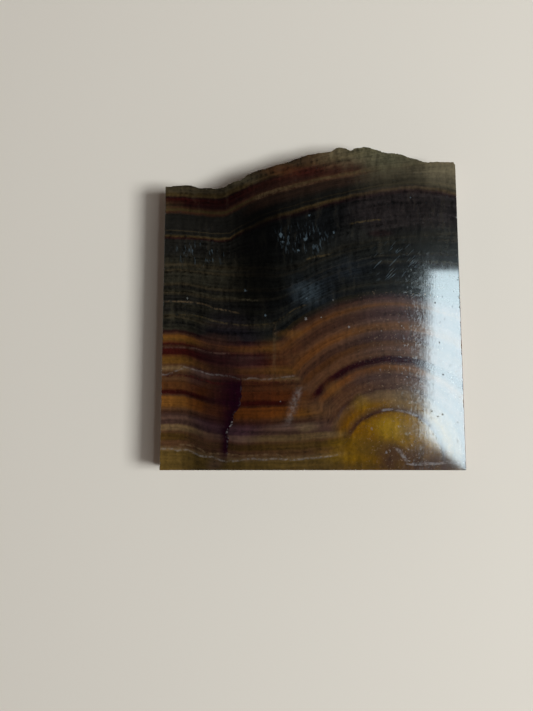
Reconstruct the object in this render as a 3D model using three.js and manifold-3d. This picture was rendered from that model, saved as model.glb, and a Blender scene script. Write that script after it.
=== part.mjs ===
// A slab of banded fluorite: sawn to two flat faces and three straight sides, polished on top,
// and left as it grew along the far edge.
// Millimetres, +X to the right, +Y towards the natural edge, +Z up out of the polished face.
// The origin is under the middle of the slab's bounding box, on the underside.
import * as THREE from "three";
import { ImprovedNoise } from "three/addons/math/ImprovedNoise.js";
import { mergeVertices } from "three/addons/utils/BufferGeometryUtils.js";
import Module from "manifold-3d";

const wasm = await Module();
wasm.setup();
const noise = new ImprovedNoise();

// The sawn block. The two side cuts lean in a little towards the natural edge.
const WIDTH = 50;
const THICKNESS = 7;
const LEFT_LEAN = 1.0 / 46.3;
const RIGHT_LEAN = 1.8 / 50.1;
const ARRIS = 0.22;

// The natural edge seen from above: [across from the middle, up from the sawn bottom edge].
const NATURAL_EDGE = [
  [-27, 46.25],
  [-24, 46.28],
  [-21.4, 46.38],
  [-19.2, 46.0],
  [-17.9, 46.08],
  [-16.2, 45.92],
  [-15.1, 46.12],
  [-13.6, 47.0],
  [-12.1, 47.4],
  [-11, 48.1],
  [-9.7, 48.7],
  [-7.1, 49.5],
  [-4.5, 50.2],
  [-1.6, 51.15],
  [1.1, 51.73],
  [3.2, 52.02],
  [4.2, 52.4],
  [5.8, 52.45],
  [6.65, 52.12],
  [7.4, 52.53],
  [9.4, 52.62],
  [10.3, 52.4],
  [13, 51.75],
  [15.7, 51.5],
  [16.4, 51.2],
  [18.5, 50.5],
  [20.8, 50.2],
  [27, 50.2],
];

// Knobs and hollows of the natural face below its top rim: [across, height, radius, depth],
// with a positive depth standing out and a negative one going in.
const KNOBS = [
  [-22.5, 2.4, 1.9, 0.55],
  [-19.2, 4.3, 1.5, -0.6],
  [-16.6, 1.6, 2.1, 0.5],
  [-13.8, 4.4, 1.4, 0.45],
  [-11.2, 1.3, 1.8, -0.7],
  [-8.6, 3.6, 1.7, 0.5],
  [-5.2, 1.5, 2.2, 0.6],
  [-3.3, 4.6, 1.3, -0.5],
  [0.4, 2.6, 2.4, 0.6],
  [4.1, 4.4, 1.5, 0.4],
  [6.7, 2.4, 1.6, -0.9],
  [9.6, 3.4, 2.0, 0.55],
  [13.1, 1.4, 1.9, -0.5],
  [15.2, 4.2, 1.5, 0.5],
  [18.4, 2.2, 2.0, 0.55],
  [21.6, 3.9, 1.6, -0.55],
];
const SET_BACK = 0.55;
const BROAD_RELIEF = 0.45;
const COARSE_RELIEF = 0.34;
const FINE_RELIEF = 0.16;
const LEDGE = 0.26;
const RIM_START = 0.5;

// The face's grid: its step across and up.
const STEP_ACROSS = 0.42;
const STEP_UP = 0.5;
const FACE_SPAN = 54;
const OVERCUT = 1;

// Chips broken out of the sharp edges: [across, up from the bottom edge, height, radius].
const CHIPS = [
  [-25.12, -0.12, 5.6, 0.62],
  [-25.05, -0.1, 1.0, 0.42],
  [25.2, -0.14, 6.4, 0.7],
  [23.4, 50.25, 6.6, 0.75],
  [24.08, 28.15, 7.05, 0.42],
  [24.14, 26.65, 7.05, 0.34],
  [24.5, 13.3, 7.1, 0.3],
  [23.5, 41.2, 7.1, 0.3],
  [-24.6, 21.4, 7.12, 0.32],
  [-24.22, 37.6, 7.1, 0.28],
  [-24.98, 8.3, 0, 0.4],
  [-13.9, -0.1, 7.08, 0.34],
  [6.3, -0.12, 7.1, 0.28],
  [17.6, -0.1, 0, 0.45],
  [-3.1, -0.06, 0, 0.36],
];

// Pits left in the polished face: [across, up from the bottom edge, radius].
const PITS = [
  [22.1, 9.1, 0.2],
  [21.5, 8.6, 0.16],
  [20.6, 20.8, 0.16],
  [21.2, 15.6, 0.18],
  [19.9, 27.3, 0.17],
  [-8.5, 30.0, 0.22],
  [1.4, 24.9, 0.18],
  [-20.4, 28.0, 0.17],
  [11.2, 22.7, 0.18],
  [12.6, 3.2, 0.2],
];
const PIT_DEPTH = 0.12;

const natural = new THREE.CubicInterpolant(
  NATURAL_EDGE.map(([across]) => across),
  NATURAL_EDGE.map(([, up]) => up),
  1,
);

// Flat treads with steep risers between them, as fluorite breaks along its cleavage.
function ledges(depth, tread) {
  const steps = depth / tread;
  const whole = Math.floor(steps);
  return tread * (whole + THREE.MathUtils.smoothstep(steps - whole, 0.55, 0.95));
}

// How far up the slab the natural face stands at a place across it and a height in it.
function naturalFace(across, height) {
  const below = 1 - THREE.MathUtils.smoothstep(height / THICKNESS, RIM_START, 1);
  let depth = -SET_BACK;
  for (const [knobAcross, knobHeight, radius, stand] of KNOBS) {
    const away = Math.hypot(across - knobAcross, height - knobHeight) / radius;
    depth += stand * Math.exp(-away * away);
  }
  depth += BROAD_RELIEF * noise.noise(across * 0.21, height * 0.3, 4.5);
  const rough =
    COARSE_RELIEF * noise.noise(across * 0.63, height * 0.7, 1.5) +
    FINE_RELIEF * noise.noise(across * 1.7, height * 1.6, 8.5);
  const relief = below * depth + (0.4 + 0.6 * below) * rough;
  return natural.evaluate(across)[0] + ledges(relief, LEDGE * (0.35 + 0.65 * below));
}

function toSolid(geometry) {
  geometry.deleteAttribute("normal");
  geometry.deleteAttribute("uv");
  const merged = mergeVertices(geometry);
  return new wasm.Manifold(
    new wasm.Mesh({
      numProp: 3,
      vertProperties: merged.attributes.position.array,
      triVerts: new Uint32Array(merged.index.array),
    }),
  );
}

function toGeometry(solid) {
  const mesh = solid.getMesh();
  const geometry = new THREE.BufferGeometry();
  geometry.setAttribute("position", new THREE.BufferAttribute(mesh.vertProperties, 3));
  geometry.setIndex(new THREE.BufferAttribute(mesh.triVerts, 1));
  return geometry;
}

// The block as it leaves the saw, longer than the stone, with its sharp edges taken off.
function sawnBlock() {
  const top = NATURAL_EDGE.reduce((most, [, up]) => Math.max(most, up), 0) + OVERCUT;
  const outline = new THREE.Shape();
  outline.moveTo(-WIDTH / 2, 0);
  outline.lineTo(WIDTH / 2, 0);
  outline.lineTo(WIDTH / 2 - RIGHT_LEAN * top, top);
  outline.lineTo(-WIDTH / 2 + LEFT_LEAN * top, top);
  outline.closePath();
  const block = new THREE.ExtrudeGeometry(outline, {
    depth: THICKNESS - 2 * ARRIS,
    bevelEnabled: true,
    bevelSegments: 1,
    bevelSize: ARRIS,
    bevelOffset: -ARRIS,
    bevelThickness: ARRIS,
  });
  return block.translate(0, 0, ARRIS);
}

// What lay beyond the natural face: a box whose near side has the face's relief.
function beyondTheFace() {
  const height = THICKNESS + 2 * OVERCUT;
  const box = new THREE.BoxGeometry(
    FACE_SPAN,
    1,
    height,
    Math.round(FACE_SPAN / STEP_ACROSS),
    1,
    Math.round(height / STEP_UP),
  );
  box.translate(0, 0, THICKNESS / 2);
  const points = box.attributes.position;
  for (let i = 0; i < points.count; i++) {
    const near = points.getY(i) < 0;
    points.setY(i, near ? naturalFace(points.getX(i), points.getZ(i)) : WIDTH + 10);
  }
  return box;
}

// A flat-faced chip, turned differently from its neighbours.
function chip([across, up, height, radius], index) {
  const piece = new THREE.OctahedronGeometry(radius);
  piece.rotateX(0.7 * index);
  piece.rotateZ(1.1 * index);
  return piece.translate(across, up, height);
}

function pit([across, up, radius], index) {
  const piece = new THREE.OctahedronGeometry(radius);
  piece.rotateZ(0.6 * index);
  piece.scale(1, 1, PIT_DEPTH / radius);
  return piece.translate(across, up, THICKNESS);
}

let stone = toSolid(sawnBlock()).subtract(toSolid(beyondTheFace()));
for (const cut of [...CHIPS.map(chip), ...PITS.map(pit)]) {
  stone = stone.subtract(toSolid(cut));
}
const geometry = toGeometry(stone);
geometry.center();
geometry.translate(0, 0, THICKNESS / 2);

const fluorite = new THREE.MeshStandardMaterial({
  color: 0x4a3018,
  roughness: 0.15,
  metalness: 0,
  flatShading: true,
});

const slab = new THREE.Mesh(geometry, fluorite);
slab.name = "fluorite_slab";

const group = new THREE.Group();
group.add(slab);

export default group;
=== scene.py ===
"""A polished slab of banded fluorite with one natural edge, on a plain stage."""
import bisect
import math
import random

import bmesh
import bpy
from mathutils import Euler, Matrix, Vector, noise


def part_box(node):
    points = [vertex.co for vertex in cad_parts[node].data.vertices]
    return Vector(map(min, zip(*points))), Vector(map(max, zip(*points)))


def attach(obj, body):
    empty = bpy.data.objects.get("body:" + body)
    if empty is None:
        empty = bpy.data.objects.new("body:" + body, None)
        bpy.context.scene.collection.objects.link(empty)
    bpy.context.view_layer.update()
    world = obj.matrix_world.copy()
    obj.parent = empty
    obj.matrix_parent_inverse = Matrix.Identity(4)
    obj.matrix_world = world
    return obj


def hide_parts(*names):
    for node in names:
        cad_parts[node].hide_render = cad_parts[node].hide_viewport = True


bl_info = {
    "name": "Banded Fluorite Slab",
    "version": (1, 0, 0),
    "blender": (4, 5, 0),
    "location": "3D View > Sidebar > Fluorite",
    "description": "Makes a polished slab of banded fluorite and a plain stage to show it on",
    "category": "Add Mesh",
}

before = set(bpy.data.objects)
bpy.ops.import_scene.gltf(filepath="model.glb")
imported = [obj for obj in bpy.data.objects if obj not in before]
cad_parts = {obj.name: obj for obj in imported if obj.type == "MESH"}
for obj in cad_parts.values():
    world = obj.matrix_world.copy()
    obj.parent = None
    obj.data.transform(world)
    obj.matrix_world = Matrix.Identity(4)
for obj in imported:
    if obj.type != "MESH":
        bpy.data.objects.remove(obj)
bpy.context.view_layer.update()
NODE = "fluorite_slab"
NODE_LOW, NODE_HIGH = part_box(NODE)
MM = 0.001

# The slab's own millimetres: across from the middle of the straight sawn edge, up the slab from
# that edge, and height above the underside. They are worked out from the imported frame.
WIDTH = (NODE_HIGH.x - NODE_LOW.x) / MM
THICKNESS = (NODE_HIGH.z - NODE_LOW.z) / MM
UP_SHIFT = -NODE_LOW.y / MM
LEFT_LEAN = 1.0 / 46.3
RIGHT_LEAN = 1.8 / 50.1

# The natural edge seen from above: (across, up).
NATURAL_EDGE = [
    (-27, 46.25), (-24, 46.28), (-21.4, 46.38), (-19.2, 46.0), (-17.9, 46.08), (-16.2, 45.92),
    (-15.1, 46.12), (-13.6, 47.0), (-12.1, 47.4), (-11, 48.1), (-9.7, 48.7), (-7.1, 49.5),
    (-4.5, 50.2), (-1.6, 51.15), (1.1, 51.73), (3.2, 52.02), (4.2, 52.4), (5.8, 52.45),
    (6.65, 52.12), (7.4, 52.53), (9.4, 52.62), (10.3, 52.4), (13, 51.75), (15.7, 51.5),
    (16.4, 51.2), (18.5, 50.5), (20.8, 50.2), (27, 50.2),
]

# Knobs (standing out) and hollows (going in) of the natural face: (across, height, radius, stand).
KNOBS = [
    (-22.5, 2.4, 1.9, 0.55), (-19.2, 4.3, 1.5, -0.6), (-16.6, 1.6, 2.1, 0.5),
    (-13.8, 4.4, 1.4, 0.45), (-11.2, 1.3, 1.8, -0.7), (-8.6, 3.6, 1.7, 0.5),
    (-5.2, 1.5, 2.2, 0.6), (-3.3, 4.6, 1.3, -0.5), (0.4, 2.6, 2.4, 0.6), (4.1, 4.4, 1.5, 0.4),
    (6.7, 2.4, 1.6, -0.9), (9.6, 3.4, 2.0, 0.55), (13.1, 1.4, 1.9, -0.5), (15.2, 4.2, 1.5, 0.5),
    (18.4, 2.2, 2.0, 0.55), (21.6, 3.9, 1.6, -0.55),
]
# Where the rim begins, as a share of the thickness, and how far the face below it is set back.
RIM_START = 0.5
SET_BACK = 0.55
# Relief of the natural face: (depth, pitch) of its waves and grains, the pitch of its coarse
# relief, and where in each ledge its riser stands.
BROAD_WAVES = (0.45, 0.22)
FINE_WAVES = (0.16, 1.7)
GRAINS = ((0.07, 3.4), (0.04, 7.5))
COARSE_PITCH = 0.65
RISER = (0.55, 0.95)

# Chips broken out of the sharp edges: (across, up, height, radius).
CHIPS = [
    (-25.12, -0.12, 5.6, 0.62), (-25.05, -0.1, 1.0, 0.42), (25.2, -0.14, 6.4, 0.7),
    (23.4, 50.25, 6.6, 0.75), (24.08, 28.15, 7.05, 0.42), (24.14, 26.65, 7.05, 0.34),
    (24.5, 13.3, 7.1, 0.3), (23.5, 41.2, 7.1, 0.3), (-24.6, 21.4, 7.12, 0.32),
    (-24.22, 37.6, 7.1, 0.28), (-24.98, 8.3, 0, 0.4), (-13.9, -0.1, 7.08, 0.34),
    (6.3, -0.12, 7.1, 0.28), (17.6, -0.1, 0, 0.45), (-3.1, -0.06, 0, 0.36),
]

# Pits left in the polished face: (across, up, radius).
PITS = [
    (21.1, 9.1, 0.2), (20.35, 8.8, 0.16), (19.4, 9.6, 0.15), (17.9, 9.8, 0.18),
    (17.7, 13.2, 0.18), (16.9, 9.6, 0.14), (20.6, 20.8, 0.16), (21.2, 15.6, 0.18),
    (19.9, 27.3, 0.17), (1.4, 24.9, 0.18), (-20.4, 28.0, 0.17), (11.2, 22.7, 0.18),
    (12.6, 3.2, 0.2),
]
PIT_DEPTH = 0.12
NICK_RADII = (0.08, 0.2)

# Bands of the flat layers: colour, and where it is plain, from and to, as millimetres up the
# slab where the layers lie level. A band with one number is plain only there.
FLAT_BANDS = [
    ("olive", -2.0, 1.4), ("tan", 2.0), ("brown", 2.5, 3.1), ("deep_olive", 3.5, 4.2),
    ("brown", 4.6), ("tan", 5.0, 5.6), ("plum", 5.95, 6.4), ("mauve", 6.9), ("plum", 7.3),
    ("bark", 7.9), ("brown", 8.3), ("amber", 8.9, 10.2), ("bark", 10.6), ("maroon", 10.85, 11.25),
    ("rust", 11.7, 12.6), ("brown", 13.2, 13.6), ("bark", 13.95), ("brown", 14.4), ("tan", 15.0),
    ("brown", 15.5), ("ochre", 15.9, 16.6), ("rust", 17.0), ("maroon", 17.3, 18.1),
    ("bark", 18.5), ("maroon", 18.9), ("rust", 19.25), ("ochre", 19.6), ("amber", 20.2),
    ("bark", 20.6), ("wine", 21.0), ("smoke", 21.4), ("soot", 22.6), ("smoke", 23.1),
    ("khaki", 23.6), ("smoke", 24.0), ("soot", 25.1), ("smoke", 25.9), ("soot", 26.4, 27.4),
    ("khaki", 28.0), ("smoke", 28.4), ("soot", 29.0), ("khaki", 29.5), ("smoke", 29.9, 31.5),
    ("khaki", 32.0), ("smoke", 32.4), ("khaki", 33.0), ("smoke", 33.5), ("soot", 35.0, 37.2),
    ("wine", 37.55), ("umber", 37.9), ("khaki", 38.0), ("soot", 38.2, 38.55), ("khaki", 38.7),
    ("soot", 38.85, 41.3), ("bark", 41.75), ("umber", 42.0, 42.15), ("bark", 42.45),
    ("wine", 42.8), ("maroon", 43.9), ("wine", 44.25), ("umber", 44.6, 44.9), ("rim", 45.3, 48.0),
]

# Bands of the round shells at the right in the same way, by their radius about the centre.
SHELL_CENTRE = (13.0, 1.5)
SHELL_BANDS = [
    ("gold", 0.0, 7.8), ("bark", 8.3), ("brown", 8.6), ("honey", 8.95), ("gold", 9.6),
    ("honey", 10.4), ("tan", 11.1), ("plum", 11.9), ("clay", 12.6, 13.4), ("plum", 14.0),
    ("clay", 14.5), ("sienna", 15.0, 15.5), ("plum", 16.0), ("violet", 16.35, 16.95),
    ("clay", 17.4, 18.5), ("brown", 19.0, 19.5), ("plum", 20.0, 20.5), ("clay", 21.2),
    ("sienna", 21.6, 22.3), ("clay", 23.0), ("plum", 23.6, 24.6), ("clay", 25.1),
    ("sienna", 25.6), ("clay", 26.1), ("plum", 26.6), ("cocoa", 27.1), ("smoke", 27.6),
    ("slate", 28.4, 60.0),
]

# Where the flat layers meet the shells, (up, across), and how soft the meeting is there.
MEETING = [
    (0, 5.2), (5, 5.6), (7, 3.6), (9, 2.6), (11, 0.6), (13, -0.6), (15, -2.2), (17, -3.4),
    (19, -4.6), (21, -5.8), (24, -6.2), (30, -7.6), (33, -9.0), (38, -12.3), (42, -14.2),
    (46, -15.6),
]
MEETING_SOFTNESS = [
    (0, 3.5), (6, 2.6), (10, 1.8), (16, 1.3), (20, 1.9), (23, 1.9), (46, 1.0),
]

# How far the flat layers rise above level: (across, mm), and how much of it is left higher up.
LAYER_RISE = [
    (-26, 1.5), (-22, 1.55), (-20, 1.25), (-18, 0.65), (-16, 0.2), (-14, 0.0), (-12, -0.15),
    (-8, -0.1), (-4, 0.0), (2, 0.45), (6, 0.8),
]
RISE_LEFT = [
    (0, 1.0), (26, 1.1), (32, 0.35), (50, 0.25),
]

# Traced layers of the dark upper part, which run on over the whole slab: level and (across, up).
TRACED_LAYERS = [
    (22.0, [
        (-26, 23.5), (-22, 23.6), (-20, 23.3), (-18, 22.6), (-16, 22.1), (-14, 21.9), (-10, 21.8),
        (-7, 22.0), (-5, 22.9), (-3, 24.3), (0, 26.2), (3, 27.6), (6, 28.6), (10, 29.3),
        (13, 29.5), (17, 29.2), (21, 28.3), (26, 26.6)]),
    (33.0, [
        (-26, 33.4), (-22, 33.5), (-19, 33.3), (-16, 33.0), (-8.5, 32.8), (-5.5, 32.7),
        (-3, 33.1), (0.2, 34.4), (4, 35.9), (7.8, 36.9), (12, 37.6), (18, 38.2), (26, 38.4)]),
    (38.0, [
        (-26, 38.3), (-22, 38.3), (-18, 38.05), (-15.5, 37.85), (-13.9, 37.85), (-12.9, 38.35),
        (-12, 38.95), (-10, 39.95), (-8, 40.85), (-6, 41.7), (-4, 42.2), (-1, 43.05), (2, 43.9),
        (5, 44.65), (8, 45.3), (12, 46.0), (15, 46.3), (18, 46.2), (21, 45.8), (24, 44.9),
        (26, 44.3)]),
    (42.0, [
        (-26, 42.4), (-22, 42.4), (-19, 42.1), (-16, 41.8), (-14.6, 41.8), (-13.4, 42.2),
        (-12, 42.95), (-10, 44.0), (-8, 44.85), (-6, 45.5), (-4, 46.0), (-1, 46.75), (2, 47.45),
        (5, 48.05), (8.4, 48.7), (14, 49.5), (22, 50.4), (26, 50.7)]),
    (46.3, [
        (-26, 46.3), (-21, 46.4), (-17, 46.15), (-15, 46.3), (-13.4, 47.0), (-11, 48.1),
        (-9, 48.9), (-7, 49.5), (-4, 50.3), (-1.6, 51.1), (1, 51.8), (4, 52.5), (8, 53.2),
        (14, 54.0), (26, 55.2)]),
]

# How bright the slab's lower part, upper part and rim are: (across, share). This is partly the
# stone's own tone, darker in the middle, and partly a painted sheen that rises towards the right,
# where the polished face mirrors the light panel.
LOWER_TONE_AND_SHEEN = [
    (-26, 1.3), (-22.5, 1.0), (-21, 0.82), (-19.5, 0.52), (-18.5, 0.4), (-17, 0.37), (-15, 0.36),
    (-13.6, 0.42), (-12, 0.52), (-9, 0.6), (-6, 0.74), (-3, 0.76), (0, 0.8), (5, 0.88), (9, 0.78),
    (12, 0.84), (14, 0.95), (26, 1.15),
]
UPPER_TONE_AND_SHEEN = [
    (-26, 1.0), (-22, 1.0), (-19, 0.85), (-16.5, 0.78), (-14.5, 0.62), (-12, 0.27), (-9, 0.1),
    (-7, 0.16), (-5, 0.3), (-2, 0.5), (2, 0.62), (6, 0.6), (9, 0.72), (13, 0.76), (17, 0.7),
    (20, 1.2), (26, 1.5),
]
RIM_TONE_AND_SHEEN = [
    (-26, 0.95), (-22, 0.7), (-19, 0.46), (-15, 0.36), (-11, 0.42), (-7, 0.46), (-4, 0.58),
    (0, 0.75), (5, 0.95), (8, 1.02), (11, 0.92), (14, 0.94), (17, 1.25), (20, 2.4), (26, 3.0),
]


def linear(red, green, blue):
    """A colour given as eight-bit sRGB, as linear values."""
    shares = (value / 255 for value in (red, green, blue))
    return tuple(s / 12.92 if s <= 0.04045 else ((s + 0.055) / 1.055) ** 2.4 for s in shares)


def tint(name, description, red, green, blue):
    return bpy.props.FloatVectorProperty(
        name=name,
        description=description,
        subtype="COLOR",
        size=3,
        min=0.0,
        max=1.0,
        default=linear(red, green, blue),
    )


def millimetres(name, description, default, low, high):
    return bpy.props.FloatProperty(
        name=name, description=description, default=default, min=low, max=high
    )


def metres(name, description, default):
    return bpy.props.FloatProperty(
        name=name, description=description, default=default, unit="LENGTH"
    )


class FluoriteColours(bpy.types.PropertyGroup):
    """The colours of the bands, specks and crust, as they look on the slab."""

    olive: tint("Olive", "Bands along the straight edge", 76, 57, 26)
    deep_olive: tint("Deep Olive", "Deep band above the lowest white line", 58, 39, 15)
    gold: tint("Gold", "Round the core of the shells", 102, 71, 3)
    bright_gold: tint("Bright Gold", "Brightest shell of the core", 118, 84, 5)
    honey: tint("Honey", "Cloudy gold shells round the core", 86, 61, 27)
    ochre: tint("Ochre", "Gold bands of the flat layers", 78, 50, 18)
    amber: tint("Amber", "Bright iron-stained bands", 90, 55, 21)
    sienna: tint("Sienna", "Bright iron-stained shells", 84, 54, 31)
    rust: tint("Rust", "Broad brown-orange bands", 70, 39, 18)
    brown: tint("Brown", "Plain brown bands", 67, 43, 27)
    bark: tint("Bark", "Edges of the dark bands", 52, 30, 20)
    clay: tint("Clay", "Grey-brown shells", 74, 52, 42)
    tan: tint("Tan", "Pale clouded bands", 88, 67, 46)
    umber: tint("Umber", "Light-brown lines in the dark part", 61, 47, 27)
    khaki: tint("Khaki", "Grey-brown lines in the dark part", 42, 35, 25)
    maroon: tint("Maroon", "Dark red bands", 42, 9, 7)
    wine: tint("Wine", "Nearly black red bands", 30, 11, 11)
    violet: tint("Violet", "Deep violet shell", 31, 3, 12)
    fracture: tint("Fracture", "Black-violet stain beside the fracture", 18, 0, 7)
    plum: tint("Plum", "Dark violet-brown lines", 57, 38, 33)
    mauve: tint("Mauve", "Pale violet-brown bands", 73, 51, 43)
    cocoa: tint("Cocoa", "Brown border of the dark shells", 42, 31, 29)
    lavender: tint("Lavender", "White to lilac lines", 122, 110, 106)
    frost: tint("Frost", "Blue-white fibres and scratches", 82, 90, 96)
    sage: tint("Sage", "Pale olive clouds of the rim", 94, 87, 64)
    rim: tint("Rim", "Grey-olive rim under the natural edge", 63, 53, 39)
    smoke: tint("Smoke", "Grey-olive parts of the dark bands", 31, 28, 22)
    slate: tint("Slate", "Blue-grey shells and clouds", 20, 22, 25)
    soot: tint("Soot", "Nearly black bands", 21, 19, 17)
    dust: tint("Dust", "Specks over the shells", 132, 104, 82)
    chalk: tint("Chalk", "Haze of the sawn sides", 150, 142, 132)
    crust: tint("Crust", "Earthy crust of the natural edge", 86, 74, 56)
    stained_crust: tint("Stained Crust", "Darker parts of the crust", 58, 48, 40)
    crust_grain: tint("Crust Grain", "Pale grains of the crust", 128, 116, 96)
    pore: tint("Pore", "Dark pores of the crust", 34, 27, 24)


class FluoriteSizes(bpy.types.PropertyGroup):
    """Sizes of the slab's edges and relief, in millimetres."""

    arris: millimetres("Arris", "Width of the ground-off sharp edges", 0.12, 0.05, 1.0)
    relief: millimetres("Relief", "Roughness of the natural face", 0.34, 0.0, 1.0)
    ledge: millimetres("Ledge", "Depth of one step of the natural face", 0.26, 0.05, 1.0)
    across_step: millimetres("Step Across", "Mesh spacing across the slab", 0.25, 0.1, 2.0)
    height_step: millimetres("Step in Height", "Mesh spacing through the slab", 0.22, 0.1, 2.0)
    nicks: bpy.props.IntProperty(
        name="Nicks", description="Small chips along the ground edges", default=70, min=0, max=200
    )


class StageSettings(bpy.types.PropertyGroup):
    """Camera, light and floor."""

    camera_height: metres("Camera Height", "Above the polished face", 0.176)
    camera_across: metres("Camera Across", "From the middle of the straight edge", -0.00755)
    camera_up: metres("Camera Up", "From the straight edge", 0.0187)
    focal_length: bpy.props.FloatProperty(
        name="Focal Length", description="Of a camera 36 mm wide", default=54.72
    )
    panel_height: metres("Panel Height", "Of the light above the polished face", 0.6)
    panel_strength: bpy.props.FloatProperty(
        name="Panel Strength", description="Brightness of the light panel", default=23.0, min=0.0
    )
    floor_colour: tint("Floor", "Colour of the pale floor", 204, 184, 170)


class Wire:
    """An output socket of a material: arithmetic on it adds the Math nodes that it needs."""

    def __init__(self, recipe, socket):
        self.recipe = recipe
        self.socket = socket

    def math(self, operation, *values):
        return self.recipe.node("ShaderNodeMath", {"operation": operation}, dict(enumerate(values)))

    def __add__(self, other):
        return self.math("ADD", self, other)

    def __sub__(self, other):
        return self.math("SUBTRACT", self, other)

    def __rsub__(self, other):
        return self.math("SUBTRACT", other, self)

    def __mul__(self, other):
        return self.math("MULTIPLY", self, other)

    def __truediv__(self, other):
        return self.math("DIVIDE", self, other)

    def __pow__(self, other):
        return self.math("POWER", self, other)

    def __abs__(self):
        return self.math("ABSOLUTE", self)

    def __gt__(self, other):
        return self.math("GREATER_THAN", self, other)

    def maximum(self, other):
        return self.math("MAXIMUM", self, other)

    def minimum(self, other):
        return self.math("MINIMUM", self, other)

    def step(self, low, high):
        """Smoothly 0 below low and 1 above high, or the other way round if low is above high."""
        return self.recipe.node(
            "ShaderNodeMapRange",
            {"interpolation_type": "SMOOTHSTEP"},
            {"Value": self, "From Min": low, "From Max": high},
        )

    __radd__ = __add__
    __rmul__ = __mul__


class Recipe:
    """A material's node tree, written as expressions."""

    MIX_A, MIX_B, MIX_RESULT = 6, 7, 2
    MOST_STOPS = 30

    def __init__(self, name):
        self.material = bpy.data.materials.new(name)
        self.material.use_nodes = True
        self.tree = self.material.node_tree
        self.tree.nodes.clear()
        place = self.node("ShaderNodeTexCoord", output="Object")
        split = self.node("ShaderNodeSeparateXYZ", inputs={"Vector": place}).socket.node
        self.across, self.up, self.height = (Wire(self, split.outputs[i]) / MM for i in range(3))
        self.up = self.up + UP_SHIFT
        self.level_place = self.vector(self.across, self.up, 0.0)

    def node(self, kind, settings=None, inputs=None, output=0):
        """Adds a node with its settings and its sockets' values or wires, and gives an output."""
        made = self.tree.nodes.new(kind)
        for name, value in (settings or {}).items():
            if name == "stops":
                self.fill_ramp(made.color_ramp, value)
            elif name == "points":
                self.fill_curve(made.mapping, value)
            else:
                setattr(made, name, value)
        for name, value in (inputs or {}).items():
            if isinstance(value, Wire):
                self.tree.links.new(value.socket, made.inputs[name])
            else:
                made.inputs[name].default_value = value
        return Wire(self, made.outputs[output]) if made.outputs else None

    @staticmethod
    def fill_ramp(ramp, stops):
        while len(ramp.elements) < len(stops):
            ramp.elements.new(1.0)
        for element, (place, colour) in zip(ramp.elements, stops):
            element.position = place
            element.color = (*colour, 1.0)

    @staticmethod
    def fill_curve(mapping, points):
        curve = mapping.curves[0].points
        curve[0].location = points[0]
        curve[1].location = points[-1]
        for point in points[1:-1]:
            curve.new(*point)
        mapping.update()

    def vector(self, x, y, z):
        return self.node("ShaderNodeCombineXYZ", inputs={"X": x, "Y": y, "Z": z})

    def stretched(self, x, y, z):
        """The place in the stone in millimetres, each way times its own number."""
        return self.vector(self.across * x, self.up * y, self.height * z)

    def mix(self, factor, one, other, blend="MIX"):
        """Colour one where the factor is 0 and the other where it is 1."""
        colours = {self.MIX_A: one, self.MIX_B: other}
        ready = {k: (*c, 1.0) if isinstance(c, tuple) else c for k, c in colours.items()}
        settings = {"data_type": "RGBA", "blend_type": blend}
        return self.node("ShaderNodeMix", settings, {0: factor, **ready}, self.MIX_RESULT)

    def scale(self, colour, factor):
        """A colour made brighter or darker."""
        settings = {"operation": "SCALE"}
        return self.node("ShaderNodeVectorMath", settings, {"Vector": colour, "Scale": factor})

    def noise(self, vector, scale=1.0, detail=2.0, roughness=0.5):
        inputs = {"Vector": vector, "Scale": scale, "Detail": detail, "Roughness": roughness}
        return self.node("ShaderNodeTexNoise", inputs=inputs)

    def follow(self, value, points):
        """A smooth curve through the given points, read at a value."""
        places, heights = zip(*points)
        low, high = min(places), max(places)
        bottom, top = min(heights), max(heights)
        shares = [((p - low) / (high - low), (h - bottom) / (top - bottom)) for p, h in points]
        share = self.ranged(value, (low, high), (0.0, 1.0))
        curve = self.node("ShaderNodeFloatCurve", {"points": shares}, {"Value": share})
        return self.ranged(curve, (0.0, 1.0), (bottom, top))

    def ranged(self, value, source, target):
        ends = dict(zip(("From Min", "From Max", "To Min", "To Max"), (*source, *target)))
        return self.node("ShaderNodeMapRange", inputs={"Value": value, **ends})

    def banded(self, value, bands, colours):
        """The bands' colours at a value, from as many ramps as the bands need."""
        places = [(place, colours[name]) for name, *ends in bands for place in ends]
        made = None
        for first in range(0, len(places) - 1, self.MOST_STOPS - 1):
            part = places[first : first + self.MOST_STOPS]
            low, high = part[0][0], part[-1][0]
            stops = [((place - low) / (high - low), colour) for place, colour in part]
            share = self.ranged(value, (low, high), (0.0, 1.0))
            ramp = self.node("ShaderNodeValToRGB", {"stops": stops}, {"Fac": share})
            made = ramp if made is None else self.mix(value > low, made, ramp)
        return made

    def line(self, distance, half_width, blur):
        """1 within half a width of a line and 0 past its blurred edge."""
        return abs(distance).step(half_width + blur, half_width)

    def away(self, across, up, radius):
        """Distance from a round fleck's middle, with 1 at its rim."""
        settings = {"operation": "DISTANCE"}
        inputs = {0: self.level_place, 1: (across, up, 0)}
        return self.node("ShaderNodeVectorMath", settings, inputs, "Value") / radius

    def spot(self, across, up, wide, tall):
        """Distance from an oval spot's middle, with 1 at its rim."""
        share, shift = (1 / wide, 1 / tall, 0), (-across / wide, -up / tall, 0)
        inputs = {0: self.level_place, 1: share, 2: shift}
        place = self.node("ShaderNodeVectorMath", {"operation": "MULTIPLY_ADD"}, inputs)
        settings = {"operation": "LENGTH"}
        return self.node("ShaderNodeVectorMath", settings, {"Vector": place}, "Value")

    def finished(self, inputs, kind="ShaderNodeBsdfPrincipled"):
        """Ends the tree in a shader with these values, and gives the material."""
        shader = self.node(kind, inputs=inputs)
        self.node("ShaderNodeOutputMaterial", inputs={"Surface": shader})
        return self.material

    def bumped(self, height, distance):
        """A normal with the relief of a height times a distance in metres."""
        inputs = {"Strength": 1.0, "Distance": distance, "Height": height}
        return self.node("ShaderNodeBump", inputs=inputs)


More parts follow.
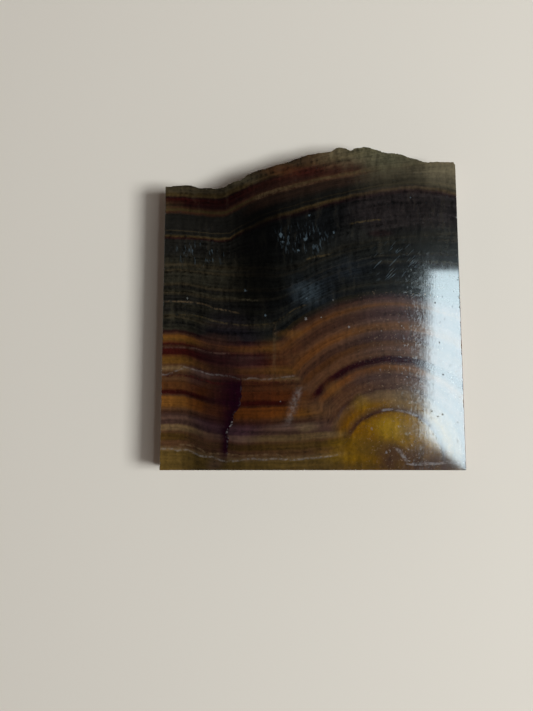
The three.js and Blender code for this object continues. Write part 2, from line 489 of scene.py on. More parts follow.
# Thin lines over the layers and shells: colour, half width, strength, and (across, up) points.
WANDERING_LINES = [
    ("lavender", 0.07, 0.28, [
        (-25.5, 3.5), (-23, 3.5), (-22, 3.2), (-21, 3.4), (-20, 3.1), (-19, 2.7), (-18, 2.3),
        (-16.5, 2.2), (-15.8, 1.9), (-13.5, 1.5), (-12, 1.6), (-10, 1.9), (-8, 1.7), (-6, 1.9),
        (-4, 1.7), (-1, 1.9), (2, 2.2), (4, 2.5)]),
    ("tan", 0.08, 0.45, [
        (-21.8, 4.2), (-20, 4.1), (-19, 3.8), (-18, 3.2), (-17, 2.8), (-15, 2.7), (-13, 2.5),
        (-10, 2.4), (-6.5, 2.6), (-5, 2.3)]),
    ("lavender", 0.06, 0.2, [
        (-21.5, 17.0), (-20, 16.6), (-19, 16.3), (-18, 16.0), (-17.5, 15.8), (-16.5, 15.6),
        (-15, 15.5), (-13, 15.2), (-11.5, 14.8), (-10, 15.0), (-8, 14.8), (-6, 15.0), (-3, 15.4)]),
    ("lavender", 0.08, 0.3, [(-25.2, 15.6), (-23.6, 15.65), (-22.4, 16.2), (-21.2, 16.6)]),
    ("lavender", 0.14, 0.5, [
        (15.2, 1.15), (16.2, 1.02), (17.3, 1.0), (19, 1.1), (20.3, 1.1), (22.1, 1.3), (24, 0.85)]),
    ("lavender", 0.1, 0.5, [
        (11.2, 9.75), (12.4, 9.9), (13.5, 9.85), (14.8, 9.55), (16, 9.2), (17.4, 8.75)]),
    ("tan", 0.3, 0.24, [
        (-9.5, 44.25), (-8, 44.85), (-6, 45.5), (-4, 46.0), (-1, 46.75), (2, 47.45), (5, 48.05),
        (8.4, 48.7)]),
    ("umber", 0.08, 0.6, [(6, 40.1), (8, 40.5), (9.5, 40.7), (11, 40.8)]),
    ("umber", 0.08, 0.6, [(-1, 34.4), (0.5, 34.8), (2, 35.0), (3, 35.4)]),
    ("maroon", 0.12, 0.7, [
        (-24.5, 15.3), (-21, 15.4), (-19, 15.05), (-18, 14.8), (-17, 14.5), (-15.5, 14.1),
        (-13, 14.2), (-11, 14.4), (-8, 14.2), (-5, 14.5), (-3, 14.8)]),
    ("mauve", 0.07, 0.4, [(-25, 20.0), (-20, 19.95), (-18, 19.5), (-16, 19.1), (-13.6, 19.0)]),
    ("tan", 0.06, 0.35, [
        (-25, 27.5), (-20, 27.4), (-18, 27.1), (-17, 26.8), (-16, 26.4), (-14.5, 26.1),
        (-12, 25.6)]),
    ("umber", 0.07, 0.35, [
        (-25, 25.2), (-20, 25.25), (-18, 24.9), (-17, 24.6), (-16, 24.3), (-13.5, 23.85),
        (-11, 23.65), (-7, 23.9), (-5.4, 24.6), (-4, 25.5), (-3, 26.2), (-1, 27.0)]),
    ("khaki", 0.1, 0.5, [
        (-24, 29.3), (-21, 29.2), (-18, 28.8), (-16, 28.4), (-13, 28.0), (-11, 27.8), (-9, 27.6)]),
]

# The healed fracture at the left: (up, across), and how wide the violet is beside it: (up, mm).
FRACTURE = [
    (0, -14.4), (1, -14.05), (2, -14.0), (4.5, -13.8), (6.2, -13.9), (7.2, -13.3), (8.2, -13.0),
    (9.2, -12.8), (10.2, -12.0), (11.5, -11.75), (13, -11.6), (15, -11.6),
]
FRACTURE_STAIN = [
    (0, 1.3), (2, 1.8), (5, 1.5), (7, 1.8), (8.5, 2.6), (10, 3.8), (12, 5.0), (14, 4.4),
    (15.5, 2.6),
]

# Clouds and stains: colour, across, up, half width, half height, strength.
CLOUDS = [
    ("wine", -15.6, 10.5, 2.4, 6.0, 0.5),
    ("bark", -17.6, 4.9, 3.2, 1.6, 0.6),
    ("plum", -15.9, 1.0, 1.6, 1.3, 0.45),
    ("maroon", -9.4, 11.2, 6.0, 6.0, 0.22),
    ("bark", -15.5, 21.0, 3.4, 1.4, 0.5),
    ("wine", -13.6, 16.6, 3.0, 3.6, 0.6),
    ("rust", -4.5, 18.0, 3.5, 3.4, 0.5),
    ("rust", -1.7, 10.9, 2.8, 1.1, 0.9),
    ("brown", 1.3, 10.2, 3.0, 2.0, 0.6),
    ("tan", -1.2, 7.0, 2.2, 0.8, 0.5),
    ("mauve", -4.6, 7.0, 2.6, 0.7, 0.5),
    ("deep_olive", -2.0, 4.4, 6.0, 2.6, 0.4),
    ("gold", 6.6, 2.8, 5.0, 3.6, 0.45),
    ("amber", 3.2, 13.2, 1.8, 1.6, 0.4),
    ("bright_gold", 7.9, 11.0, 1.8, 1.3, 0.3),
    ("deep_olive", 6.5, 0.4, 9.0, 1.3, 0.7),
    ("bright_gold", 13.0, 6.9, 4.2, 2.2, 0.85),
    ("deep_olive", 9.6, 3.6, 3.6, 2.4, 0.6),
    ("tan", 15.8, 6.6, 2.2, 1.5, 0.45),
    ("tan", 12.4, 12.0, 4.6, 1.3, 0.4),
    ("plum", 10.0, 15.0, 3.6, 1.3, 0.6),
    ("bark", 12.6, 1.9, 2.4, 2.6, 0.9),
    ("brown", 17.4, 2.9, 3.0, 1.8, 0.8),
    ("bark", 18.6, 0.9, 7.5, 2.4, 0.95),
    ("slate", 0.0, 29.0, 4.0, 3.8, 0.6),
    ("frost", -0.6, 28.9, 2.6, 2.0, 0.12),
    ("slate", 5.8, 32.8, 3.6, 2.2, 0.6),
    ("soot", 6.8, 38.9, 2.8, 1.9, 0.85),
    ("wine", 11.2, 38.6, 2.0, 0.6, 0.5),
    ("wine", -15.5, 18.0, 3.0, 4.2, 0.4),
    ("maroon", -4.6, 20.2, 3.0, 1.2, 0.3),
    ("amber", -6.2, 20.5, 4.0, 0.9, 0.25),
    ("plum", -10.6, 17.8, 3.2, 1.6, 0.25),
    ("amber", -3.6, 22.2, 2.2, 0.8, 0.4),
    ("tan", 15.6, 11.6, 3.4, 2.4, 0.45),
    ("rust", -5.0, 49.0, 3.4, 1.0, 0.5),
    ("brown", 2.0, 50.6, 6.0, 1.8, 0.5),
    ("maroon", -1.6, 48.8, 4.4, 0.9, 0.5),
    ("sage", 10.8, 51.4, 9.0, 2.6, 0.42),
    ("rim", -11.5, 47.3, 2.8, 0.8, 0.5),
    ("umber", -25.5, 43.2, 3.4, 1.3, 0.6),
]

# Lines that stand up from the layers: colour, half width, blur, strength, and (up, across) points.
STANDING_LINES = [
    ("tan", 0.06, 0.5, 0.22, [(13.8, -6.35), (18, -6.3), (21, -6.25), (24.6, -6.3)]),
    ("lavender", 0.0, 1.5, 0.33, [
        (6.6, -4.6), (7.5, -4.2), (8.2, -3.9), (9, -3.6), (10, -3.3), (11, -3.05), (12.5, -2.5),
        (14, -1.8)]),
    ("lavender", 0.18, 0.45, 0.55, [
        (1.0, 15.7), (1.6, 15.2), (2.3, 14.7), (3.0, 14.2), (3.8, 13.6)]),
    ("bark", 0.1, 0.3, 0.6, [
        (4.4, 5.8), (5.5, 6.1), (6.3, 6.45), (7.2, 7.0), (8.0, 7.7), (8.8, 8.8)]),
    ("plum", 0.15, 0.4, 0.6, [(7.2, 3.5), (8.2, 3.9), (9, 4.3), (10, 4.9), (10.9, 5.5)]),
]

# Single light flecks in the stone: across, up, radius.
FLECKS = [
    (-1.0, 28.0, 0.2), (-1.1, 24.75, 0.22), (15.9, 44.4, 0.16), (12.0, 2.95, 0.2),
    (10.95, 16.4, 0.22), (9.6, 6.75, 0.24), (-11.1, 29.3, 0.22), (-5.2, 38.4, 0.34),
    (-4.9, 37.3, 0.26), (-1.2, 37.6, 0.3), (-0.6, 41.4, 0.26), (-2.4, 35.8, 0.2),
    (3.4, 38.8, 0.22), (5.9, 23.4, 0.16), (-5.3, 11.2, 0.16), (13.9, 7.3, 0.22),
    (3.3, 27.8, 0.18), (-7.7, 25.2, 0.18),
]


# How far the layers slip down the slab for each millimetre below the polished face.
DIP = 0.16

# Casts over whole regions of the stone, as shares of red, green and blue.
PLAIN_CAST = (1.0, 0.9, 0.8)
IRON_CAST = (0.99, 0.71, 0.43)
COOL_CAST = (1.0, 0.95, 1.05)
VIOLET_CAST = (1.03, 0.82, 1.3)
BURNT_CAST = (1.0, 0.66, 0.42)
BLUE_CAST = (0.63, 0.67, 0.79)

FLUORITE_IOR = 1.434
LINE_BLUR = 0.16
# How far below the polished face its polish ends.
POLISH_DEPTH = (0.06, 0.01)


class StoneRecipe(Recipe):
    """The cut stone's node tree, with where each point lies in the layers and shells."""

    def __init__(self, name, colours):
        super().__init__(name)
        self.colours = colours
        self.below = THICKNESS - self.height
        self.sunk = self.below * DIP
        self.wander = self.noise(self.stretched(0.35, 0.35, 0.35), detail=3.0) - 0.5
        self.ripple = self.noise(self.stretched(1.3, 1.3, 1.3)) - 0.5
        self.shake = self.wander * 0.5 + self.ripple * 0.22
        self.broken = self.noise(self.stretched(2.2, 2.2, 0.8))
        across, up = self.across, self.up
        turned = (across * 0.8 + up * 0.6, up * 0.8 - across * 0.6, self.height + 0.45)
        self.turned = self.vector(*turned)
        self.grain = self.noise(self.turned, 1.9, 3.0)
        self.level, self.in_dark = self.find_level()
        self.radius, self.in_shells = self.find_shell()
        # The stone's tone and the rim's, both with a painted sheen towards the right near the
        # mirrored panel.
        self.light, self.rim_light = self.find_light()

    def over(self, factor, colour, name):
        """A named colour laid over another."""
        return self.mix(factor, colour, self.colours[name])

    def find_level(self):
        """The level of the flat layer here, as if it lay level, and 1 in the dark layers."""
        rise = self.follow(self.across, LAYER_RISE) * self.follow(self.up, RISE_LEFT)
        flat = self.up - rise + self.sunk + self.shake
        heights = [self.follow(self.across, points) - self.sunk for _, points in TRACED_LAYERS]
        levels = [level for level, _ in TRACED_LAYERS]
        shaken = self.up + self.shake
        traced = levels[0]
        for low, high, bottom, top in zip(levels, levels[1:], heights, heights[1:]):
            share = (shaken - bottom) / (top - bottom)
            traced = share.minimum(1.0).maximum(0.0) * (high - low) + traced
        in_dark = (shaken - heights[0]).step(-0.1, 0.1)
        return flat + (traced - flat) * in_dark, in_dark

    def find_shell(self):
        """The radius of the round shell here, and 1 where shells take the flat layers' place."""
        x, y = self.across - SHELL_CENTRE[0], self.up - SHELL_CENTRE[1]
        radius = (x * x + y * y + self.below * self.below) ** 0.5 + self.shake
        past = self.across - self.follow(self.up, MEETING) + self.ripple
        share = (past / self.follow(self.up, MEETING_SOFTNESS)).step(-1.0, 1.0)
        return radius, share * (1 - self.in_dark)

    def find_light(self):
        """How bright the stone is here, and how bright the rim is at this place across: the stone's
        own tone, with a painted sheen towards the right.
        """
        across, level = self.across, self.level
        parts = (LOWER_TONE_AND_SHEEN, UPPER_TONE_AND_SHEEN, RIM_TONE_AND_SHEEN)
        lower, upper, rim = (self.follow(across, points) for points in parts)
        light = lower + (upper - lower) * self.up.step(20.0, 30.0)
        sooner = level.step(37.4, 41.0) * across.step(0.0, 8.0)
        return light + (rim - light) * level.step(40.5, 42.5).maximum(sooner), rim

    def cast(self):
        """The casts over whole regions, as one colour to multiply by."""
        across, radius = self.across, self.radius
        inner = radius.step(21.0, 17.0) * across.step(15.0, 10.0) * 0.5
        stained = (across.step(12.0, -1.0) + inner).minimum(1.0) * self.in_shells
        cast = self.mix(stained, PLAIN_CAST, IRON_CAST)
        cool = across.step(6.0, 12.0) * radius.step(17.0, 20.0) * self.in_shells
        cast = self.mix(cool, cast, COOL_CAST)
        cast = self.mix(self.spot(-13.5, 14.5, 8.0, 13.5).step(1.0, 0.6), cast, VIOLET_CAST)
        cast = self.mix(self.spot(-11.0, 11.5, 11.0, 5.0).step(1.0, 0.6), cast, BURNT_CAST)
        blue = across.step(-12.0, -4.0) * self.in_dark * self.level.step(37.9, 37.4)
        return self.mix(blue, cast, BLUE_CAST)

    def bands(self):
        """The layers' and shells' colours, scaled by the stone's tone and a painted sheen towards
        the right, with the hazes over the dark layers.
        """
        across, level, in_dark = self.across, self.level, self.in_dark
        flat = self.banded(level, FLAT_BANDS, self.colours)
        shells = self.banded(self.radius, SHELL_BANDS, self.colours)
        colour = self.mix(1.0, self.mix(self.in_shells, flat, shells), self.cast(), "MULTIPLY")
        # Darker or lighter with the stone's tone, and lighter towards the right with the painted
        # sheen.
        colour = self.scale(colour, self.light)
        warm = across.step(-13.0, -7.0) * across.step(15.0, 7.0) * level.step(39.2, 40.8)
        bark = self.scale(self.colours["bark"], self.rim_light)
        colour = self.mix(warm * in_dark * 0.42, colour, bark)
        # The grey-olive rim colour over the dark layers at the right is scaled by the rim's tone
        # and its painted sheen.
        veiled = across.step(5.0, 13.0) * (level.step(37.3, 38.5) + level.step(38.8, 41.0))
        rim = self.scale(self.colours["rim"], self.rim_light)
        colour = self.mix(veiled * in_dark * 0.42, colour, rim)
        greyed = across.step(3.0, 10.0) * level.step(33.0, 34.5) * level.step(38.4, 38.0)
        return self.over(greyed * in_dark * 0.36, colour, "cocoa")

    def clouded(self, colour):
        """Clouds and stains with wandering rims."""
        for name, x, y, wide, tall, strength in CLOUDS:
            patch = (self.spot(x, y, wide, tall) + self.wander * 1.2).step(1.35, 0.2)
            colour = self.over(patch * strength, colour, name)
        return colour

    def lined(self, colour):
        """Thin lines along the layers and across them, stronger in some places than in others."""
        across, up = self.across, self.up
        present = self.broken.step(0.3, 0.65)
        for name, half_width, strength, points in WANDERING_LINES:
            start, end = points[0][0], points[-1][0]
            ends = (across - start).step(-0.3, 0.3) * (across - end).step(0.3, -0.3)
            distance = up - self.follow(across, points) + self.sunk + self.ripple * 0.2
            mark = self.line(distance, half_width, LINE_BLUR) * ends * present
            colour = self.over(mark * strength, colour, name)
        for name, half_width, blur, strength, points in STANDING_LINES:
            start, end = points[0][0], points[-1][0]
            fade = 0.4 * (end - start)
            ends = (up - start).step(0.0, fade) * (up - end).step(0.0, -fade * 0.5)
            distance = across - self.follow(up, points) + self.ripple * 0.3
            mark = self.line(distance, half_width, blur) ** 2 * ends * (present * 0.8 + 0.2)
            colour = self.over(mark * strength, colour, name)
        return colour

    def fractured(self, colour):
        """The violet stain at the left of the healed fracture, and white flecks along it."""
        up = self.up
        beside = self.across - self.follow(up, FRACTURE) + self.ripple * 0.5
        stain = (beside / self.follow(up, FRACTURE_STAIN)).step(-1.1, -0.2)
        stain = stain * beside.step(0.15, -0.1) * up.step(16.2, 13.8) * up.step(0.5, 3.5)
        colour = self.over(stain * 0.97, colour, "fracture")
        flecked = self.line(beside + 0.1, 0.05, 0.2) * up.step(14.5, 13.5)
        fresh = up.step(4.2, 5.4) * up.step(9.4, 8.0) * 0.4 + 0.06
        return self.over(flecked * self.broken.step(0.5, 0.62) * fresh, colour, "lavender")

    def grained(self, colour):
        """Laminae along the bands, fibres across them and grain, as lighter and darker colour."""
        across, up, height = self.across, self.up, self.height
        level, in_dark, in_shells = self.level, self.in_dark, self.in_shells
        grown = level + (self.radius - 6.0 - level) * in_shells
        laminae = self.noise(self.vector(across * 0.12, grown * 2.6, height * 0.12), detail=3.0)
        leaning = across * 1.7 + laminae * 1.6
        streak = self.vector(leaning, up * 0.3 + across * 0.1, height * 0.6 + 0.3)
        fibres = self.noise(streak, detail=3.0)
        banding = (laminae - 0.5) * (1.1 - self.radius.step(14.0, 7.0) * in_shells)
        texture = banding + (fibres - 0.5) * 1.1 + (self.grain - 0.5) * 0.8
        stronger = level.step(38.6, 37.4) * 1.1 + level.step(42.0, 44.0) * 0.7
        light = 1.0 + texture * (1.0 + in_dark * stronger)
        colour = self.scale(colour, light.maximum(0.2))
        patches = self.noise(self.stretched(0.22, 0.22, 0.2)).step(0.4, 0.62)
        hazy = fibres.step(0.52, 0.72) * in_dark * patches * self.light.minimum(1.0)
        return self.over(hazy * 0.5, colour, "khaki")

    def flecked(self, colour):
        """Frosty dashes and scratches, dust, and single flecks."""
        across, up, height = self.across, self.up, self.height
        place = self.vector(across * 3.1 + up * 0.4, up * 0.9, height * 3.0 + 0.4)
        middle, left = self.spot(-1.6, 37.4, 6.0, 3.9), self.spot(-18.5, 35.2, 6.0, 2.6)
        misty = middle.step(1.0, 0.3) + left.step(1.0, 0.4)
        dashes = self.noise(place, detail=1.0).step(0.56, 0.8)
        colour = self.over(dashes * misty * 0.35, colour, "frost")
        slanted = self.vector((across + up) * 0.35, (up - across) * 3.2, height)
        scratched = self.noise(slanted, detail=1.0).step(0.6, 0.72)
        scratched = scratched * self.spot(13.5, 33.8, 5.5, 4.5).step(1.0, 0.4)
        colour = self.over(scratched * 0.4, colour, "frost")
        share = 0.05 + across.step(3.0, 13.0) * (0.5 - self.in_dark * 0.48)
        dusty = self.noise(self.turned, 3.3).step(0.61, 0.76) * share * self.light.minimum(1.0)
        dust = self.over(self.in_dark, self.colours["dust"], "frost")
        colour = self.mix(dusty, colour, dust)
        nearest = self.away(*FLECKS[0])
        for fleck in FLECKS[1:]:
            nearest = nearest.minimum(self.away(*fleck))
        nearest = nearest + (self.grain - 0.5) * 4.0
        pale = self.over(self.in_dark, self.colours["lavender"], "frost")
        return self.mix(nearest.step(1.3, 0.2) * 0.5, colour, pale)

    def stone_colour(self):
        """The stone's colour, all through it."""
        colour = self.bands()
        for add in (self.clouded, self.lined, self.fractured, self.grained, self.flecked):
            colour = add(colour)
        return colour


def cut_finish(colours):
    """The cut stone: glossy on the polished face, satin and paler with saw lines on the sides."""
    recipe = StoneRecipe("fluorite_cut", colours)
    colour = recipe.stone_colour()
    across, up = recipe.across, recipe.up
    polish = recipe.height.step(*(THICKNESS - depth for depth in POLISH_DEPTH))
    drawn = recipe.noise(recipe.stretched(5.0, 0.16, 0.0), detail=3.0)
    wave = recipe.noise(recipe.stretched(0.12, 0.12, 0.0), detail=1.0)
    saw_lines = recipe.noise(recipe.stretched(0.3, 0.3, 7.0), detail=3.0)
    worn = recipe.noise(recipe.stretched(3.2, 1.6, 0.0)) - across.step(18.0, 20.5) * 0.055
    pocked = worn.step(0.6, 0.72) * across.step(12.0, 17.0) * (up.step(37.0, 32.0) * 0.85 + 0.15)
    leaning = recipe.vector((across - up * 0.4) * 4.4, (up + across * 0.4) * 0.9, 0.0)
    brushed = recipe.noise(leaning, detail=3.0).step(0.5, 0.66)
    brushed = brushed * across.step(15.0, 18.0) * across.step(20.5, 18.5)
    brushed = brushed * up.step(38.0, 31.0) * (up.step(5.0, 9.0) * 0.7 + 0.3)
    sawn = recipe.over(0.14 + saw_lines * 0.1, recipe.scale(colour, 1.25), "chalk")
    glossy = 0.02 + drawn * 0.04 + pocked * 0.4 + brushed * 0.17
    satin = 0.38 + saw_lines * 0.2
    relief = (drawn * 1.6 + wave * 8.0) * 0.6 * polish + saw_lines * 12.0 * (1 - polish)
    return recipe.finished({
        "Base Color": recipe.mix(polish, sawn, colour),
        "Roughness": satin + (glossy - satin) * polish,
        "IOR": FLUORITE_IOR,
        "Coat Weight": polish * 0.16,
        "Coat Roughness": 0.14,
        "Coat IOR": FLUORITE_IOR,
        "Normal": recipe.bumped(relief, 1e-6),
    })


def natural_finish(colours):
    """The natural edge: an earthy grey-brown crust with pale grains over dark stone."""
    recipe = Recipe("fluorite_natural")
    place = recipe.vector(recipe.across, recipe.up, recipe.height)
    broad = recipe.noise(place, 0.5, 3.0)
    grains = recipe.noise(place, 3.2, 4.0, 0.65)
    pores = recipe.noise(place, 1.4, 3.0)
    crust = recipe.mix(broad.step(0.4, 0.62), colours["crust"], colours["stained_crust"])
    crust = recipe.mix(grains.step(0.52, 0.7) * 0.6, crust, colours["crust_grain"])
    crust = recipe.mix(pores.step(0.42, 0.3) * 0.8, crust, colours["pore"])
    return recipe.finished({
        "Base Color": crust,
        "Roughness": 0.5 + grains * 0.35,
        "IOR": FLUORITE_IOR,
        "Normal": recipe.bumped(grains, 90e-6),
    })


# The material slots, and the mesh spacing up the slab: in most of it, and in the strip under its
# natural edge.
CUT, NATURAL = range(2)
STEP_UP = 1.5
EDGE_STRIP = 3
EDGE_STEP_UP = 0.5


def mesh_from(bm, name):
    mesh = bpy.data.meshes.new(name)
    bm.to_mesh(mesh)
    bm.free()
    return mesh


def linked(context, name, data):
    """A new object in the scene."""
    made = bpy.data.objects.new(name, data)
    context.scene.collection.objects.link(made)
    return made


def edge_at(across):
    """How far up the slab its natural edge lies, on a smooth curve through the set points."""
    places = [x for x, _ in NATURAL_EDGE]
    i = min(max(bisect.bisect_right(places, across) - 1, 1), len(NATURAL_EDGE) - 3)
    (xa, ya), (xb, yb), (xc, yc), (xd, yd) = NATURAL_EDGE[i - 1 : i + 3]
    gap = xc - xb
    share = min(max((across - xb) / gap, 0.0), 1.0)
    start_slope = (yc - ya) / (xc - xa) * gap
    end_slope = (yd - yb) / (xd - xb) * gap
    square, cube = share**2, share**3
    return (
        (2 * cube - 3 * square + 1) * yb
        + (cube - 2 * square + share) * start_slope
        + (3 * square - 2 * cube) * yc
        + (cube - square) * end_slope
    )


def smooth(value, low, high):
    share = min(max((value - low) / (high - low), 0.0), 1.0)
    return share * share * (3 - 2 * share)


def rough_at(across, height, depth, pitch):
    return depth * noise.noise(Vector((across * pitch, height * pitch, 8.5 * pitch)))


def natural_face(across, height, sizes):
    """How far up the slab the natural face stands, with its knobs, ledges and grain."""
    below = 1 - smooth(height / THICKNESS, RIM_START, 1)
    depth = -SET_BACK + rough_at(across, height, *BROAD_WAVES)
    for knob_across, knob_height, radius, stand in KNOBS:
        away = math.hypot(across - knob_across, height - knob_height) / radius
        depth += stand * math.exp(-away * away)
    rough = rough_at(across, height, sizes.relief, COARSE_PITCH)
    rough += rough_at(across, height, *FINE_WAVES)
    relief = below * depth + (0.4 + 0.6 * below) * rough
    tread = sizes.ledge * (0.35 + 0.65 * below)
    steps = relief / tread
    whole = math.floor(steps)
    grain = sum(rough_at(across, height, *waves) for waves in GRAINS)
    return edge_at(across) + tread * (whole + smooth(steps - whole, *RISER)) + grain


def cut_across(bm, axis, places):
    """Cuts the whole mesh at each place along an axis, so that it can follow a shape."""
    normal = Vector((axis == "x", axis == "y", axis == "z"))
    for place in places:
        geometry = bm.verts[:] + bm.edges[:] + bm.faces[:]
        bmesh.ops.bisect_plane(
            bm, geom=geometry, dist=1e-5, plane_co=normal * place, plane_no=normal
        )


def spaced(low, high, step):
    count = max(1, round((high - low) / step))
    return [low + (high - low) * i / count for i in range(1, count)]


def sawn_block(bm, sizes):
    """The stone as a straight block with its sharp edges ground off, then cut into a fine grid."""
    depth = max(up for _, up in NATURAL_EDGE)
    bmesh.ops.create_cube(bm, size=1.0)
    bmesh.ops.scale(bm, vec=(WIDTH, depth, THICKNESS), verts=bm.verts)
    bmesh.ops.translate(bm, vec=(0, depth / 2, THICKNESS / 2), verts=bm.verts)
    sharp = [e for e in bm.edges if min(v.co.y for v in e.verts) < depth / 2]
    bmesh.ops.bevel(
        bm, geom=sharp, offset=sizes.arris, offset_type="OFFSET", affect="EDGES", segments=3,
        profile=0.5, material=-1,
    )
    inner = WIDTH / 2 - sizes.arris
    cut_across(bm, "x", spaced(-inner, inner, sizes.across_step))
    cut_across(bm, "z", spaced(sizes.arris, THICKNESS - sizes.arris, sizes.height_step))
    strip = depth - EDGE_STRIP
    places = spaced(sizes.arris, strip, STEP_UP) + spaced(strip, depth, EDGE_STEP_UP)
    cut_across(bm, "y", places)
    return depth


def mark_finishes(bm, depth):
    """Gives each face its finish, and smooths only the ground edges and the natural face."""
    for face in bm.faces:
        n = face.normal
        grown = all(v.co.y > depth - 1e-4 for v in face.verts)
        face.material_index = NATURAL if grown else CUT
        face.smooth = max(abs(n.x), abs(n.y), abs(n.z)) < 0.999 or face.material_index == NATURAL


def shape_slab(bm, depth, sizes):
    """Leans the side cuts in and gives the far side the natural outline and relief."""
    for v in bm.verts:
        across, share, height = v.co.x, v.co.y / depth, v.co.z
        up = share * natural_face(across, height, sizes)
        lean = LEFT_LEAN if across < 0 else RIGHT_LEAN
        v.co.x = across * (1 - lean * up / (WIDTH / 2))
        v.co.y = up


def cutter_mesh(sizes):
    """Flat-faced cutters for the chips, the small nicks along the edges, and the pits."""
    bm = bmesh.new()
    dice = random.Random(41)

    def cutter(place, radius, flatness=1.0):
        turn = Euler([dice.uniform(0, math.tau) for _ in range(3)]).to_matrix().to_4x4()
        stretch = Matrix.Diagonal((dice.uniform(0.8, 1.5), dice.uniform(0.6, 1.0), 1.0, 1.0))
        flat = Matrix.Diagonal((1.0, 1.0, flatness, 1.0))
        matrix = Matrix.Translation(place) @ flat @ turn @ stretch
        bmesh.ops.create_icosphere(bm, subdivisions=1, radius=radius, matrix=matrix)

    for across, up, height, radius in CHIPS:
        cutter((across, up, height), radius)
    for _ in range(sizes.nicks):
        along = dice.uniform(0.5, 45.5)
        height = dice.choice((0.0, THICKNESS, THICKNESS))
        side = dice.choice(("left", "right", "front"))
        radius = dice.uniform(*NICK_RADII)
        if side == "left":
            place = (-WIDTH / 2 + LEFT_LEAN * along + 0.04, along, height)
        elif side == "right":
            place = (WIDTH / 2 - RIGHT_LEAN * along - 0.04, along, height)
        else:
            place = (along - WIDTH / 2 + 2, 0.04, height)
        cutter(place, radius)
    for across, up, radius in PITS:
        cutter((across, up, THICKNESS), radius, PIT_DEPTH / radius)
    return mesh_from(bm, "chips_and_pits")


def applied(piece):
    """The piece with its modifiers applied."""
    graph = bpy.context.evaluated_depsgraph_get()
    mesh = bpy.data.meshes.new_from_object(piece.evaluated_get(graph))
    piece.modifiers.clear()
    piece.data = mesh
    return piece


def place_in_frame(mesh):
    """From the slab's millimetres to the frame's metres."""
    mesh.transform(Matrix.Diagonal((MM, MM, MM, 1.0)) @ Matrix.Translation((0, -UP_SHIFT, 0)))


class FLUORITE_OT_slab(bpy.types.Operator):
    """Makes the slab: sawn block, natural edge, chips and pits, and its finishes"""

    bl_idname = "fluorite.slab"
    bl_label = "Fluorite Slab"

    def execute(self, context):
        sizes = context.scene.fluorite_sizes
        bm = bmesh.new()
        depth = sawn_block(bm, sizes)
        mark_finishes(bm, depth)
        shape_slab(bm, depth, sizes)
        piece = linked(context, "banded_slab", mesh_from(bm, "banded_slab"))
        palette = context.scene.fluorite_colours
        colours = {name: tuple(getattr(palette, name)) for name in palette.__annotations__}
        for make in (cut_finish, natural_finish):
            piece.data.materials.append(make(colours))

        cutters = linked(context, "chips_and_pits", cutter_mesh(sizes))
        cutters.data.materials.append(piece.data.materials[CUT])
        cut = piece.modifiers.new("Chips", "BOOLEAN")
        cut.operation = "DIFFERENCE"
        cut.solver = "MANIFOLD"
        cut.object = cutters
        applied(piece)
        bpy.data.objects.remove(cutters)
        place_in_frame(piece.data)
        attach(piece, "root")
        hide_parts(NODE)
        return {"FINISHED"}


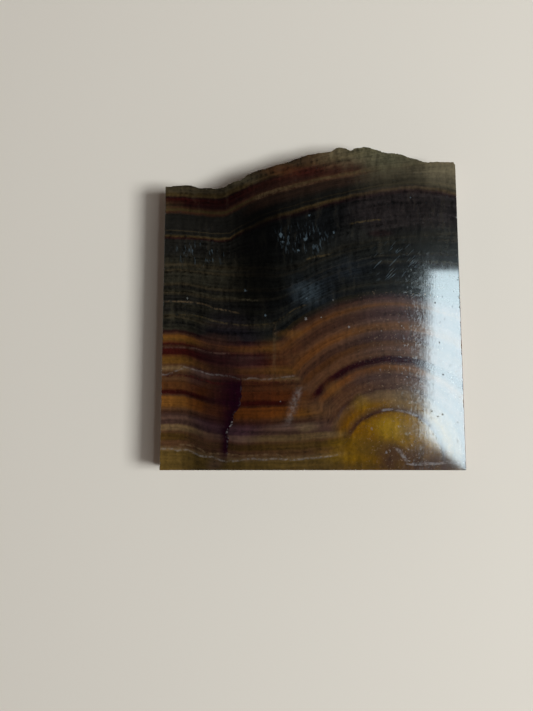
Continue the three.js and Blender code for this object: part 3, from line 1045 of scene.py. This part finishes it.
class FLUORITE_OT_stage(bpy.types.Operator):
    """Makes the camera, the light panel, the soft surroundings and the pale floor"""

    bl_idname = "fluorite.stage"
    bl_label = "Stage"

    FLOOR_HALF = 3.0
    # Where the floor thins out towards the surroundings, as shares of its half size.
    FLOOR_FADE = (0.4, 0.1)
    PANEL_COLOUR = (0.76, 0.93, 1.0, 1.0)
    # Pale near the horizon and dark overhead, so that the face mirrors little from above.
    SKY = [
        (0.0, (0.60, 0.55, 0.50)), (0.15, (0.56, 0.52, 0.47)), (0.7, (0.04, 0.038, 0.035)),
        (1.0, (0.025, 0.024, 0.023)),
    ]
    # The light panel's strips, each with its share of the strength and its corners in the slab's
    # millimetres, where they mirror on the polished face. The farthest strip gives the long shadow.
    PANEL_MIRRORED = [
        (1.0, [(19.1, 32.5), (18.1, 5.8), (24.8, 0.2), (27.0, -1.6), (27.0, 32.5)]),
        (0.2, [(27.0, 32.5), (27.0, -1.6), (48.0, -19.0), (62.0, -19.0), (62.0, 32.5)]),
        (1.8, [(62.0, 32.5), (62.0, -19.0), (130.0, -19.0), (130.0, 32.5)]),
    ]

    def execute(self, context):
        stage = context.scene.fluorite_stage
        self.add_camera(context, stage)
        self.add_floor(context, stage)
        self.add_panel(context, stage)
        self.add_world(context)
        context.scene.view_settings.view_transform = "Standard"
        return {"FINISHED"}

    def add_camera(self, context, stage):
        data = bpy.data.cameras.new("camera")
        data.lens = stage.focal_length
        data.sensor_width = 36.0
        data.clip_start = 0.005
        data.clip_end = 50.0
        camera = linked(context, "camera", data)
        camera.location = (
            stage.camera_across,
            stage.camera_up - UP_SHIFT * MM,
            THICKNESS * MM + stage.camera_height,
        )
        context.scene.camera = camera

    def add_floor(self, context, stage):
        bm = bmesh.new()
        bmesh.ops.create_grid(bm, x_segments=1, y_segments=1, size=self.FLOOR_HALF)
        mesh = mesh_from(bm, "floor")
        recipe = Recipe("floor")
        mesh.materials.append(recipe.finished({
            "Base Color": (*stage.floor_colour, 1.0),
            "Roughness": 0.85,
            "Alpha": recipe.away(0.0, 0.0, self.FLOOR_HALF / MM).step(*self.FLOOR_FADE),
        }))
        linked(context, "floor", mesh)

    def add_panel(self, context, stage):
        """A light panel placed so that its mirror image on the slab has the set corners."""
        eye = Vector((stage.camera_across, stage.camera_up)) / MM
        spread = 1 + stage.panel_height / stage.camera_height
        height = THICKNESS + stage.panel_height / MM
        for number, (share, mirrored) in enumerate(self.PANEL_MIRRORED):
            name = f"light_panel_{number + 1}"
            bm = bmesh.new()
            corners = [eye + (Vector(corner) - eye) * spread for corner in mirrored]
            bm.faces.new([bm.verts.new((x, y, height)) for x, y in corners])
            mesh = mesh_from(bm, name)
            place_in_frame(mesh)
            glow = {"Color": self.PANEL_COLOUR, "Strength": stage.panel_strength * share}
            mesh.materials.append(Recipe(name).finished(glow, "ShaderNodeEmission"))
            linked(context, name, mesh)

    def add_world(self, context):
        world = bpy.data.worlds.new("studio")
        world.use_nodes = True
        context.scene.world = world
        tree = world.node_tree
        tree.nodes.clear()
        place = tree.nodes.new("ShaderNodeTexCoord")
        split = tree.nodes.new("ShaderNodeSeparateXYZ")
        ramp = tree.nodes.new("ShaderNodeValToRGB")
        Recipe.fill_ramp(ramp.color_ramp, self.SKY)
        light = tree.nodes.new("ShaderNodeBackground")
        out = tree.nodes.new("ShaderNodeOutputWorld")
        tree.links.new(place.outputs["Generated"], split.inputs["Vector"])
        tree.links.new(split.outputs["Z"], ramp.inputs["Fac"])
        tree.links.new(ramp.outputs["Color"], light.inputs["Color"])
        tree.links.new(light.outputs["Background"], out.inputs["Surface"])


class FLUORITE_PT_panel(bpy.types.Panel):
    """The slab's and the stage's buttons and settings"""

    bl_idname = "FLUORITE_PT_panel"
    bl_label = "Banded Fluorite Slab"
    bl_space_type = "VIEW_3D"
    bl_region_type = "UI"
    bl_category = "Fluorite"

    def draw(self, context):
        layout = self.layout
        layout.operator(FLUORITE_OT_slab.bl_idname)
        layout.operator(FLUORITE_OT_stage.bl_idname)
        for group in ("fluorite_sizes", "fluorite_colours", "fluorite_stage"):
            settings = getattr(context.scene, group)
            box = layout.box()
            for name in settings.__annotations__:
                box.prop(settings, name)


CLASSES = (
    FluoriteColours,
    FluoriteSizes,
    StageSettings,
    FLUORITE_OT_slab,
    FLUORITE_OT_stage,
    FLUORITE_PT_panel,
)


def register():
    for made in CLASSES:
        bpy.utils.register_class(made)
    bpy.types.Scene.fluorite_colours = bpy.props.PointerProperty(type=FluoriteColours)
    bpy.types.Scene.fluorite_sizes = bpy.props.PointerProperty(type=FluoriteSizes)
    bpy.types.Scene.fluorite_stage = bpy.props.PointerProperty(type=StageSettings)


def unregister():
    del bpy.types.Scene.fluorite_stage
    del bpy.types.Scene.fluorite_sizes
    del bpy.types.Scene.fluorite_colours
    for made in reversed(CLASSES):
        bpy.utils.unregister_class(made)


def main():
    register()
    bpy.ops.fluorite.slab()
    bpy.ops.fluorite.stage()


if __name__ == "__main__":
    main()
